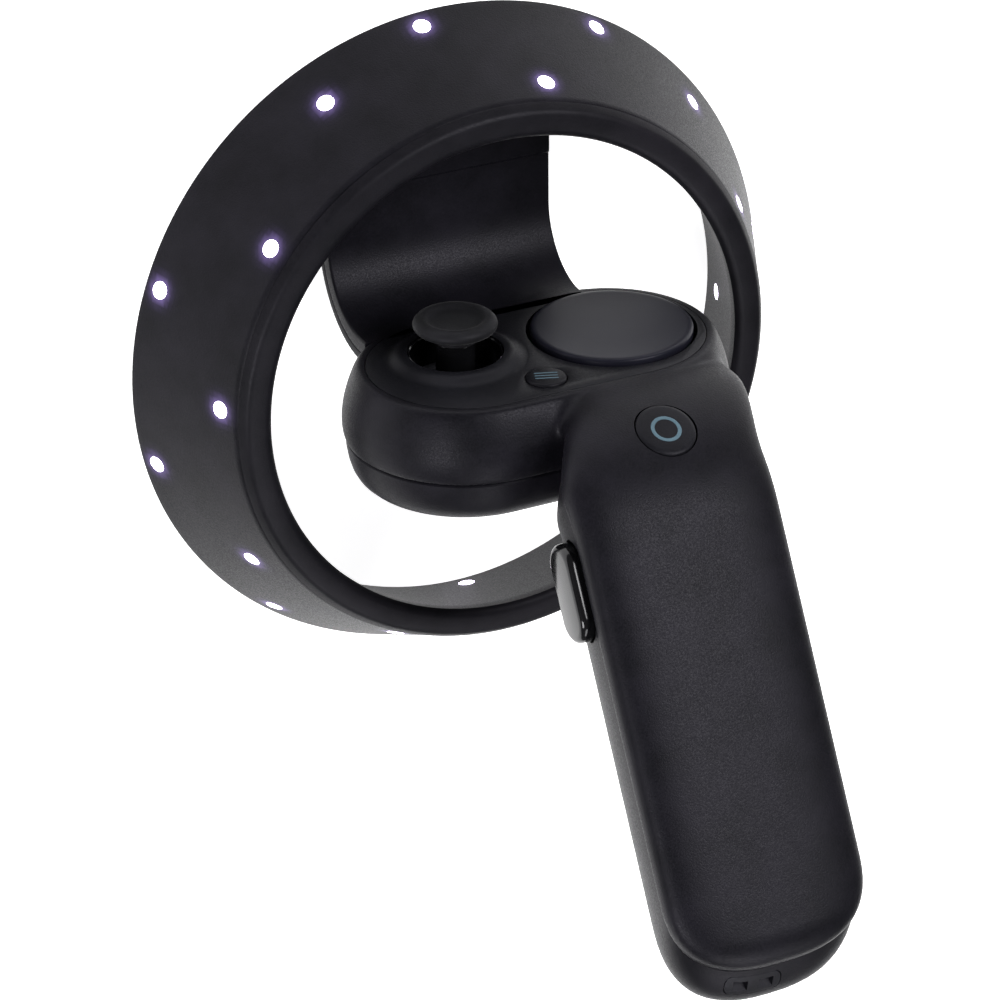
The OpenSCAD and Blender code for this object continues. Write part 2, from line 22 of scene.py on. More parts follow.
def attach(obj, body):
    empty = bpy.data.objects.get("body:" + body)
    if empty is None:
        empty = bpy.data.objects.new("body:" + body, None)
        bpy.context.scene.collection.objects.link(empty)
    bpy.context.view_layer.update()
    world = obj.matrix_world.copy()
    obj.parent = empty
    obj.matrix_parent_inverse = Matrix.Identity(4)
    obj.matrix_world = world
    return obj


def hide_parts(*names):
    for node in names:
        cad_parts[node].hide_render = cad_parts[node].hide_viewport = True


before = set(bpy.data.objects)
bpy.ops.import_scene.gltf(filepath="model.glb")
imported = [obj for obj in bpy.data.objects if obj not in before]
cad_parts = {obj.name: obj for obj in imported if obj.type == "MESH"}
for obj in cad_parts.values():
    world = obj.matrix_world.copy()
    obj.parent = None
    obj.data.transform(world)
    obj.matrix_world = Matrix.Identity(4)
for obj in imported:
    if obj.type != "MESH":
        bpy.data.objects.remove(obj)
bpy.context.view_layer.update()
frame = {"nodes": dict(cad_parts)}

log = logging.getLogger("controller")

MM = 0.001
SCALE = Matrix.Diagonal((MM, MM, MM, 1.0))
PLATE_MIDDLE = Matrix.Translation((0.0, -20.1 * MM, 33.4 * MM))
HEAD = PLATE_MIDDLE @ Matrix(((-1, 0, 0, 0), (0, 0, -1, 0), (0, -1, 0, 0), (0, 0, 0, 1))) @ SCALE
RING = Matrix.Translation((0.0, -9.6 * MM, 0.0)) @ SCALE

BEND_R = 29.0
BEND_X = 6.5
BEND_Y = -17.5
TILT = 60.0
TOUCH = 0.001

Profile = list[tuple[float, float]]
Ring = list[Vector]


def along_bend(degrees: float, step: float = 0.0) -> Matrix:
    """Gives the handle's own frame at one angle of the bend.

    Args:
        degrees: Angle from the control plate's level.
        step: Distance further along the handle, in mm.

    Returns:
        A matrix whose +Y is out of the face and whose +Z runs down the handle.
    """
    turn = Matrix.Rotation(math.radians(90 + degrees), 4, "X")
    pivot = Matrix.Translation((BEND_X, BEND_Y, -BEND_R))
    return HEAD @ pivot @ turn @ Matrix.Translation((0, BEND_R, step))


GRIP = along_bend(TILT)


# ---------- modelling helpers ----------
class Join(Enum):
    """How one solid acts on another."""

    ADD = "UNION"
    CUT = "DIFFERENCE"
    KEEP = "INTERSECT"


def start_clean() -> None:
    """Leaves edit mode and deselects everything."""
    if bpy.context.mode != "OBJECT":
        bpy.ops.object.mode_set(mode="OBJECT")
    bpy.ops.object.select_all(action="DESELECT")


def hold(obj: bpy.types.Object) -> None:
    """Makes one object the only selected and active one.

    Args:
        obj: The object to select.
    """
    start_clean()
    obj.select_set(True)
    bpy.context.view_layer.objects.active = obj


def name_piece(obj: bpy.types.Object, name: str) -> bpy.types.Object:
    """Names an object and its mesh alike.

    Args:
        obj: The object.
        name: Its new name.

    Returns:
        The same object.
    """
    obj.name = name
    obj.data.name = name
    return obj


def rounded(corners: Sequence[tuple[float, float, float]], steps: int = 6) -> Profile:
    """Rounds the corners of a closed outline.

    Args:
        corners: Each corner as x, y and its radius.
        steps: Points on each arc.

    Returns:
        The outline's points, with an arc at every corner that has a radius.
    """
    points: Profile = []
    for i, (x, y, radius) in enumerate(corners):
        corner = Vector((x, y))
        if radius <= 0:
            points.append((x, y))
            continue
        before = (Vector(corners[i - 1][:2]) - corner).normalized()
        after = (Vector(corners[(i + 1) % len(corners)][:2]) - corner).normalized()
        half = before.angle(after) / 2
        middle = corner + (before + after).normalized() * radius / math.sin(half)
        first = corner + before * radius / math.tan(half) - middle
        last = corner + after * radius / math.tan(half) - middle
        for k in range(steps + 1):
            arm = first.normalized().slerp(last.normalized(), k / steps).normalized() * radius
            points.append(tuple(middle + arm))
    return points


def close_up(merge: float) -> None:
    """Merges doubles and turns every face outwards, from edit mode back to object mode.

    Args:
        merge: Points closer than this become one.
    """
    bpy.ops.mesh.select_all(action="SELECT")
    bpy.ops.mesh.remove_doubles(threshold=merge)
    bpy.ops.mesh.normals_make_consistent(inside=False)
    bpy.ops.object.mode_set(mode="OBJECT")


def loft(name: str, rings: Sequence[Ring], merge: float = 1e-7) -> bpy.types.Object:
    """Extrudes a filled outline through a row of rings.

    Args:
        name: The piece's name.
        rings: Outlines with equal numbers of points, in metres.
        merge: Points closer than this become one.

    Returns:
        The closed solid.
    """
    start_clean()
    bpy.ops.mesh.primitive_circle_add(vertices=len(rings[0]), radius=MM, fill_type="NGON")
    obj = name_piece(bpy.context.object, name)
    bpy.ops.object.mode_set(mode="EDIT")
    mesh = bmesh.from_edit_mesh(obj.data)
    mesh.verts.ensure_lookup_table()
    current = [v.index for v in mesh.verts]
    for index, point in zip(current, rings[0]):
        mesh.verts[index].co = point
    for ring in rings[1:]:
        bpy.ops.mesh.extrude_region_move()
        mesh = bmesh.from_edit_mesh(obj.data)
        mesh.verts.index_update()
        mesh.verts.ensure_lookup_table()
        following = []
        for index, point in zip(current, ring):
            vert = mesh.verts[index]
            new = next(e.other_vert(vert) for e in vert.link_edges if e.other_vert(vert).select)
            new.co = point
            following.append(new.index)
        current = following
    bmesh.update_edit_mesh(obj.data)
    close_up(merge)
    return obj


def prism(name: str, outline: Profile, low: float, high: float, place: Matrix) -> bpy.types.Object:
    """Extrudes a flat outline between two heights of a frame, all in mm."""
    return loft(name, [[place @ Vector((x, y, z)) for x, y in outline] for z in (low, high)])


def spun(name: str, outline: Profile, place: Matrix, steps: int = 96) -> bpy.types.Object:
    """Spins a closed outline of radius and height round a frame's +Z.

    Args:
        name: The piece's name.
        outline: Radius and height of each point, in mm. Two ends on the axis are left open.
        place: The frame that the piece stands in.
        steps: Steps in the whole turn.

    Returns:
        The closed solid of revolution.
    """
    start_clean()
    bpy.ops.mesh.primitive_circle_add(vertices=len(outline), radius=1.0)
    obj = name_piece(bpy.context.object, name)
    bpy.ops.object.mode_set(mode="EDIT")
    mesh = bmesh.from_edit_mesh(obj.data)
    mesh.verts.ensure_lookup_table()
    for vert, (radius, height) in zip(mesh.verts, outline):
        vert.co = (radius, 0.0, height)
    core = [e for e in mesh.edges if all(abs(v.co.x) < TOUCH for v in e.verts)]
    bmesh.ops.delete(mesh, geom=core, context="EDGES")
    bmesh.update_edit_mesh(obj.data)
    bpy.ops.mesh.select_all(action="SELECT")
    bpy.ops.mesh.spin(steps=steps, angle=math.tau, center=(0, 0, 0), axis=(0, 0, 1))
    close_up(TOUCH)
    obj.data.transform(place)
    return obj


def combine(target: bpy.types.Object, tool: bpy.types.Object, how: Join) -> None:
    """Joins, cuts or trims the target with a tool, which is used up.

    Args:
        target: The solid that is changed.
        tool: The solid that changes it.
        how: What the tool does to the target.
    """
    change = target.modifiers.new("change", "BOOLEAN")
    change.object = tool
    change.operation = how.value
    change.solver = "MANIFOLD"
    hold(target)
    bpy.ops.object.modifier_apply(modifier=change.name)
    bpy.data.objects.remove(tool)


def soften(obj: bpy.types.Object, width: float, steps: int = 2, angle: float = 30.0) -> None:
    """Bevels an object's sharp edges.

    Args:
        obj: The object.
        width: Width of the bevel, in mm.
        steps: Faces across the bevel.
        angle: Edges sharper than this are bevelled, in degrees.
    """
    bevel = obj.modifiers.new("edges", "BEVEL")
    bevel.width = width * MM
    bevel.segments = steps
    bevel.limit_method = "ANGLE"
    bevel.angle_limit = math.radians(angle)
    bevel.use_clamp_overlap = True
    hold(obj)
    bpy.ops.object.modifier_apply(modifier=bevel.name)


def relax(obj: bpy.types.Object, rounds: int, weights: Optional[Callable[[Vector], float]] = None) -> None:
    """Smooths an object's mesh.

    Args:
        obj: The object.
        rounds: How many times each point moves towards its neighbours.
        weights: Gives how much of it a point takes, from 0 to 1. Without it, all take it whole.
    """
    smooth = obj.modifiers.new("relax", "SMOOTH")
    smooth.factor = 0.5
    smooth.iterations = rounds
    if weights is not None:
        group = obj.vertex_groups.new(name="relax")
        for vert in obj.data.vertices:
            weight = weights(vert.co)
            if weight > 0:
                group.add([vert.index], weight, "REPLACE")
        smooth.vertex_group = group.name
    hold(obj)
    bpy.ops.object.modifier_apply(modifier=smooth.name)
    obj.vertex_groups.clear()


def remesh(obj: bpy.types.Object, size: float) -> None:
    """Rebuilds a solid as one even skin.

    Args:
        obj: The solid.
        size: Size of a face, in mm.
    """
    hold(obj)
    obj.data.remesh_voxel_size = size * MM
    obj.data.remesh_voxel_adaptivity = 0.0
    bpy.ops.object.voxel_remesh()


def merge_pieces(name: str, pieces: Sequence[bpy.types.Object]) -> bpy.types.Object:
    """Makes one object of several.

    Args:
        name: The new object's name.
        pieces: The objects, which are used up.

    Returns:
        The one object.
    """
    start_clean()
    for piece in pieces:
        piece.select_set(True)
    bpy.context.view_layer.objects.active = pieces[0]
    bpy.ops.object.join()
    return name_piece(pieces[0], name)


def copy_piece(obj: bpy.types.Object, place: Matrix) -> bpy.types.Object:
    """Copies an object with a mesh of its own.

    Args:
        obj: The object to copy.
        place: The matrix that moves the copy's mesh.

    Returns:
        The copy.
    """
    hold(obj)
    bpy.ops.object.duplicate(linked=False)
    twin = bpy.context.object
    twin.data.transform(place)
    return twin


# ---------- finishes ----------
def linear(code: str) -> tuple[float, float, float, float]:
    """Turns an sRGB hex colour into linear values."""
    parts = [int(code[i : i + 2], 16) / 255 for i in (1, 3, 5)]
    return tuple(c / 12.92 if c <= 0.04045 else ((c + 0.055) / 1.055) ** 2.4 for c in parts) + (1.0,)


def add_node(
    tree: bpy.types.NodeTree, kind: str, settings: Mapping[Any, Any], links: Mapping[Any, Any]
) -> bpy.types.Node:
    """Adds a node to a tree.

    Args:
        tree: The material's node tree.
        kind: The node's type.
        settings: Values by the name of a property, or by the name or number of an input.
        links: Output sockets by the name or number of the input that they feed.

    Returns:
        The new node.
    """
    node = tree.nodes.new(kind)
    for key, value in settings.items():
        if isinstance(key, str) and hasattr(node, key):
            setattr(node, key, value)
        else:
            node.inputs[key].default_value = value
    for key, source in links.items():
        tree.links.new(source, node.inputs[key])
    return node


@dataclass(frozen=True)
class Moulded:
    """A solid finish: plastic, rubber, steel, laminate or film.

    Attributes:
        name: What the material is and how its surface was made.
        colour: The lighter of its two tones, sRGB hex.
        deep: The darker of its two tones, sRGB hex.
        roughness: Middle roughness.
        swing: How far the roughness goes either way with the grain.
        grain: Size of the surface's grain, in mm.
        relief: Height of the grain, in mm.
        cloud: Size of the slow change in tone, in mm.
        ior: Refractive index, for what isn't a metal.
        glint: Strength of the mirror-like part of the reflection.
        tint: Colour of that part, sRGB hex.
        metallic: 1 for a metal.
        coat: Weight of a clear gloss over it.
        sheen: Weight of the dusty bloom that soft-touch paint and rubber have.
    """

    name: str
    colour: str
    deep: str
    roughness: float
    swing: float = 0.06
    grain: float = 0.35
    relief: float = 0.012
    cloud: float = 9.0
    ior: float = 1.34
    glint: float = 0.17
    tint: str = "#f6f3ff"
    metallic: float = 0.0
    coat: float = 0.0
    sheen: float = 0.0

    def build(self) -> bpy.types.Material:
        """Makes the material, or gives the one already made.

        Returns:
            The material.
        """
        if self.name in bpy.data.materials:
            return bpy.data.materials[self.name]
        material = bpy.data.materials.new(self.name)
        material.use_nodes = True
        tree = material.node_tree
        tree.nodes.clear()
        place = add_node(tree, "ShaderNodeTexCoord", {}, {}).outputs["Object"]
        grain = add_node(
            tree,
            "ShaderNodeTexNoise",
            {"Scale": 1 / (self.grain * MM), "Detail": 2.0, "Roughness": 0.6},
            {"Vector": place},
        ).outputs["Fac"]
        cloud = add_node(
            tree,
            "ShaderNodeTexNoise",
            {"Scale": 1 / (self.cloud * MM), "Detail": 3.0, "Roughness": 0.55},
            {"Vector": place},
        ).outputs["Fac"]
        speckle = add_node(
            tree, "ShaderNodeMath", {"operation": "MULTIPLY_ADD", 1: 0.35}, {0: grain, 2: cloud}
        ).outputs[0]
        amount = add_node(
            tree, "ShaderNodeMapRange", {"From Min": 0.45, "From Max": 0.9}, {"Value": speckle}
        ).outputs["Result"]
        tone = add_node(
            tree,
            "ShaderNodeMix",
            {"data_type": "RGBA", 6: linear(self.deep), 7: linear(self.colour)},
            {0: amount},
        ).outputs[2]
        rough = add_node(
            tree,
            "ShaderNodeMapRange",
            {
                "From Min": 0.3,
                "From Max": 0.7,
                "To Min": self.roughness - self.swing,
                "To Max": self.roughness + self.swing,
            },
            {"Value": grain},
        ).outputs["Result"]
        bump = add_node(
            tree,
            "ShaderNodeBump",
            {"Strength": 1.0, "Distance": self.relief * MM},
            {"Height": grain},
        ).outputs["Normal"]
        shader = add_node(
            tree,
            "ShaderNodeBsdfPrincipled",
            {
                "IOR": self.ior,
                "Specular IOR Level": self.glint,
                "Specular Tint": linear(self.tint),
                "Metallic": self.metallic,
                "Coat Weight": self.coat,
                "Coat Roughness": 0.12,
                "Sheen Weight": self.sheen,
                "Sheen Roughness": 0.45,
            },
            {"Base Color": tone, "Roughness": rough, "Normal": bump},
        )
        self.light_up(tree, shader)
        add_node(tree, "ShaderNodeOutputMaterial", {}, {"Surface": shader.outputs["BSDF"]})
        return material

    def light_up(self, tree: bpy.types.NodeTree, shader: bpy.types.Node) -> None:
        """Adds no light: a plain finish has none of its own."""


@dataclass(frozen=True)
class Glowing(Moulded):
    """A finish with light of its own, as strong as the mesh's glow attribute.

    Attributes:
        light: Colour of the light, sRGB hex.
        power: Strength of the light where the attribute is 1.
    """

    light: str = "#ffffff"
    power: float = 1.0

    def light_up(self, tree: bpy.types.NodeTree, shader: bpy.types.Node) -> None:
        """Feeds the glow attribute, tinted, to the shader's emission.

        Args:
            tree: The material's nodes.
            shader: The shader that gives the light.
        """
        glow = add_node(tree, "ShaderNodeAttribute", {"attribute_name": "glow"}, {}).outputs["Fac"]
        tint = add_node(
            tree,
            "ShaderNodeMix",
            {"data_type": "RGBA", 6: (0.0, 0.0, 0.0, 1.0), 7: linear(self.light)},
            {0: glow},
        ).outputs[2]
        tree.links.new(tint, shader.inputs["Emission Color"])
        shader.inputs["Emission Strength"].default_value = self.power


# ABS with a spark-eroded mould texture: an even satin black that sparkles faintly
SHELL = Moulded("abs_spark_eroded_black", "#131217", "#08080b", 0.43, swing=0.12, grain=0.3, relief=0.04)
# The same shell on the ring's cone, with a violet halo of lamp light painted round each lens as emission on
# the shell
CONE_PAINTED_HALO = Glowing(
    "abs_spark_eroded_painted_halo",
    "#131217",
    "#08080b",
    0.43,
    swing=0.12,
    grain=0.3,
    relief=0.04,
    # colour and strength of the halo painted on the shell
    light="#a88fe0",
    power=0.5,
)
# ABS from a finer mould: the ring's rim and inside
SATIN = Moulded("abs_satin_black", "#131216", "#0a0a0d", 0.46, swing=0.1, grain=0.28, relief=0.025)
# Soft-touch lacquer on the control plate and the buttons
SOFT = Moulded("soft_touch_lacquer", "#141418", "#0c0c0f", 0.42, swing=0.1, grain=0.26, relief=0.02)
# Hard-coated polycarbonate of the touch surface: smooth, a little blue
TOUCHPAD = Moulded(
    "polycarbonate_hard_coat", "#17171f", "#12121a", 0.36, swing=0.03, grain=0.2, relief=0.002
)
# Silicone rubber of the thumbstick's cap: dull, with a light bloom
RUBBER = Moulded("silicone_rubber", "#1a1a1d", "#111113", 0.52, grain=0.3, relief=0.012, sheen=0.04)
# Polished black ABS of the well, the ball and the side button
GLOSS = Moulded(
    "abs_polished_black", "#0c0c0e", "#070708", 0.14, swing=0.02, grain=0.4, relief=0.001, coat=0.5
)
# Pad-printed ink
INK = Moulded("pad_printed_ink", "#4d626d", "#465963", 0.45, swing=0.04, grain=0.15, relief=0.004)
# Clear polycarbonate light pipes with a lamp behind each
LENS = Glowing(
    "polycarbonate_light_pipe", "#f4efff", "#e6dcff", 0.2, relief=0.001, light="#f0e4ff", power=9.0
)
# Glass-fibre laminate under green solder resist
BOARD = Moulded("laminate_solder_resist", "#1f5a36", "#174829", 0.35, grain=0.8, relief=0.02, coat=0.3)
# Polyimide film with copper inside
FILM = Moulded("polyimide_film", "#b5731f", "#96591a", 0.3, grain=0.6, relief=0.004, coat=0.4)
# Rolled and plated steel
STEEL = Moulded("steel_plated", "#b9bbbe", "#9c9ea2", 0.28, grain=0.3, relief=0.004, metallic=1.0)
# Glass-filled nylon of the hidden frames
NYLON = Moulded("nylon_glass_filled", "#3a3a3e", "#2b2b2f", 0.62, grain=0.5, relief=0.02)
# Shrink sleeve round each cell
SLEEVE = Moulded("pvc_shrink_sleeve", "#a8733f", "#8b5c30", 0.32, grain=0.7, relief=0.003, coat=0.4)


def dress(
    obj: bpy.types.Object, finish: Moulded, body: str, nodes: Sequence[str] = (), angle: float = 32.0
) -> None:
    """Finishes a new piece and fixes it to its body.

    Args:
        obj: The piece, already in place.
        finish: What it is made of.
        body: The body that it rides on.
        nodes: The CAD nodes that it stands for.
        angle: Edges sharper than this stay sharp in the shading, in degrees.
    """
    obj.data.materials.clear()
    obj.data.materials.append(finish.build())
    hold(obj)
    bpy.ops.object.shade_smooth_by_angle(angle=math.radians(angle))
    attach(obj, body)
    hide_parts(*nodes)
    log.info("%s: %d faces, rides on %s", obj.name, len(obj.data.polygons), body)


# ---------- the ring ----------
@dataclass
class TrackingRing:
    """The hollow cone of two shells with the lamps that a headset tracks."""

    wide: float = 60.0
    rim: float = 48.6
    rim_inner: float = 43.7
    base_inner: float = 50.4
    height: float = 23.3
    wall: float = 1.8
    seam: float = 21.4
    lens: float = 1.5
    steps: int = 288
    outer_lamps: tuple[tuple[float, float], ...] = (
        (-140, 4), (-122, 14), (-102, 3), (-86, 18), (-70, 3), (-53, 18), (-27.5, 7.7),
        (-6, 3), (11, 17.5), (27, 3), (50, 6.5), (66, 17.5), (82, 3.5), (98, 17.5),
        (115, 3), (132, 17.5), (149, 3), (165, 17.5), (-172, 3), (-157, 17.5),
    )  # fmt: skip
    inner_lamps: tuple[tuple[float, float], ...] = (
        (90, 8), (135, 8), (180, 4), (-135, 12), (-90, 14), (-50, 14), (45, 14),
    )  # fmt: skip

    def outer_radius(self, height: float) -> float:
        """Gives the cone's radius at a height."""
        return self.wide + (self.rim - self.wide) * height / self.height

    def inner_radius(self, height: float) -> float:
        """Gives the inner wall's radius at a height."""
        return self.base_inner + (self.rim_inner - self.base_inner) * height / (self.height - 1.4)

    def lamp_place(self, lamp: tuple[float, float], inside: bool) -> Matrix:
        """Gives the frame of one lens, with +Z out of the ring's surface.

        Args:
            lamp: Its turn round the ring in degrees, and its height in mm.
            inside: Whether it sits in the inner wall.

        Returns:
            The frame, in the ring's millimetres.
        """
        turn, height = lamp
        around = Matrix.Rotation(math.radians(-90 - turn), 4, "Z")
        if inside:
            lean = math.atan2(self.base_inner - self.rim_inner, self.height - 1.4)
            out = Matrix.Translation((self.inner_radius(height), 0, height))
            return around @ out @ Matrix.Rotation(-math.pi / 2 - lean, 4, "Y")
        lean = math.atan2(self.wide - self.rim, self.height)
        out = Matrix.Translation((self.outer_radius(height), 0, height))
        return around @ out @ Matrix.Rotation(math.pi / 2 - lean, 4, "Y")

    def add_painted_halo(self, obj: bpy.types.Object, lamps: Sequence[Matrix], reach: float) -> None:
        """Paints a halo of lamp light onto the shell: stores how strongly it glows at each point.

        Args:
            obj: The shell.
            lamps: The lenses' frames.
            reach: Distance at which the painted halo has fallen to about a third, in mm.
        """
        glow = obj.data.attributes.new("glow", "FLOAT", "POINT")
        centres = [RING @ place @ Vector((0, 0, 0)) for place in lamps]
        for vert in obj.data.vertices:
            near = min((vert.co - centre).length for centre in centres) / MM
            glow.data[vert.index].value = math.exp(-max(near - self.lens, 0.0) / reach)

    def outer_shell(self) -> None:
        """Spins the cone, its rounded wide edge and the base flange."""
        edge = self.outer_radius(self.seam)
        rise = 26
        cone = [(self.wide - 0.5, 0.0), (self.wide - 0.12, 0.14), (self.wide - 0.3, 0.6)]
        cone += [
            (self.outer_radius(z), z)
            for z in [0.6 + (self.seam - 0.8) * k / rise for k in range(1, rise + 1)]
        ]
        cone += [(edge - 0.2, self.seam), (edge - self.wall, self.seam)]
        cone += [(self.wide - self.wall * 1.2, self.wall), (self.base_inner + self.wall, self.wall)]
        cone += [(self.base_inner + self.wall, 0.25), (self.base_inner + self.wall + 0.25, 0.0)]
        shell = spun("ring_cone", cone, RING, self.steps)
        places = [self.lamp_place(lamp, False) for lamp in self.outer_lamps]
        # paints the lamps' violet halo onto the cone's shell round each lens
        self.add_painted_halo(shell, places, 0.55)
        dress(shell, CONE_PAINTED_HALO, "casing", ["ring_outer_shell"])

    def inner_shell(self) -> None:
        """Spins the narrow rim and the ring's inner wall."""
        foot = self.base_inner + self.wall - 0.15
        inside = [
            (self.inner_radius(z), z) for z in [0.35 + (self.height - 2.6) * k / 20 for k in range(21)]
        ]
        lip = [(self.rim_inner + 0.12, self.height - 0.95), (self.rim_inner + 0.45, self.height - 0.45)]
        lip += [(self.rim_inner + 1.0, self.height - 0.12), (self.rim_inner + 1.7, self.height)]
        lip += [(self.rim - 0.9, self.height), (self.rim - 0.3, self.height - 0.15)]
        lip += [(self.rim + 0.1, self.height - 0.5), (self.rim + 0.88, 21.75), (self.rim + 0.7, 21.55)]
        back = [(self.outer_radius(self.seam) - self.wall - 0.6, 21.55)]
        back += [(self.inner_radius(20.4) + self.wall, 20.4), (self.inner_radius(1.8) + self.wall, 1.8)]
        outline = [(self.base_inner + 0.35, 0.0)] + inside + lip + back
        outline += [(foot, 1.8), (foot, 0.2), (foot - 0.2, 0.0)]
        shell = spun("ring_rim", outline, RING, self.steps)
        dress(shell, SATIN, "casing", ["ring_inner_shell"])

    def lenses(self) -> None:
        """Turns one lens and sets a copy of it at every lamp."""
        outline = [(0, -0.9), (self.lens, -0.9), (self.lens, -0.02), (self.lens - 0.12, 0.06)]
        outline += [(self.lens * 0.5, 0.11), (0, 0.12)]
        pattern = spun("lens_pattern", outline, Matrix.Identity(4), 32)
        for name, lamps, inside, node in (
            ("ring_lenses_outside", self.outer_lamps, False, "outer_led_lenses"),
            ("ring_lenses_inside", self.inner_lamps, True, "inner_led_lenses"),
        ):
            copies = [copy_piece(pattern, RING @ self.lamp_place(lamp, inside)) for lamp in lamps]
            piece = merge_pieces(name, copies)
            glow = piece.data.attributes.new("glow", "FLOAT", "POINT")
            glow.data.foreach_set("value", [1.0] * len(piece.data.vertices))
            dress(piece, LENS, "casing", [node])
        bpy.data.objects.remove(pattern)

    def build(self) -> None:
        """Builds the whole ring."""
        self.outer_shell()
        self.inner_shell()
        self.lenses()


# ---------- the neck ----------
@dataclass
class Neck:
    """The curved sheet of two covers that carries the ring."""

    left: float = -25.0
    right: float = 16.8
    thick: float = 4.4
    fillet: float = 12.0
    centre_y: float = 17.0
    crease: float = 21.0
    ring_axis: float = -10.5
    ring_reach: float = 50.6

    def outline(self, near: float, far: float, inset: float) -> Profile:
        """Gives a cover's section: across the neck, and out from its front surface.

        Args:
            near: Depth of its front surface, in mm.
            far: Depth of its back surface, in mm.
            inset: How much narrower than the neck it is on each side, in mm.

        Returns:
            The section's points.
        """
        edge = 0.45
        return rounded(
            [
                (self.left + inset, -far, edge * 0.6),
                (self.right - inset, -far, edge * 0.6),
                (self.right - inset, -near, edge),
                (self.left + inset, -near, edge),
            ],
            4,
        )

    def sweep(self, name: str, near: float, far: float, inset: float) -> bpy.types.Object:
        """Sweeps a cover from inside the head up to the ring's inner wall.

        Args:
            name: The cover's name.
            near: Depth of its front surface, in mm.
            far: Depth of its back surface, in mm.
            inset: How much narrower than the neck it is on each side, in mm.

        Returns:
            The cover's solid.
        """
        section = self.outline(near, far, inset)
        stations: list[Callable[[float, float], tuple[float, float, float]]] = []
        for back in (2.5, 0.0):
            stations.append(lambda x, h, back=back: (x, self.centre_y - back, h))
        for k in range(1, 25):
            turn = math.radians(90 * k / 24)
            stations.append(
                lambda x, h, turn=turn: (
                    x,
                    self.centre_y + (self.fillet - h) * math.sin(turn),
                    self.fillet - (self.fillet - h) * math.cos(turn),
                )
            )
        flat = self.centre_y + self.fillet
        for high, proud in ((self.crease, 0.0), (self.crease + 0.35, 0.3), (self.crease + 6, 0.3)):
            stations.append(lambda x, h, high=high, proud=proud: (x, flat - h - proud * (h > -1), high))
        top = self.ring_reach
        stations.append(
            lambda x, h: (x, flat - h - 0.3 * (h > -1), self.ring_axis + math.sqrt(top**2 - x**2))
        )
        rings = [[HEAD @ Vector(place(x, h)) for x, h in section] for place in stations]
        return loft(name, rings)

    def build(self) -> None:
        """Builds the front and the back cover."""
        front = self.sweep("neck_front", 0.0, 2.55, 0.0)
        dress(front, SHELL, "casing", ["neck_front_cover"])
        back = self.sweep("neck_back", 2.7, self.thick, 0.12)
        dress(back, SATIN, "casing", ["neck_back_cover"])


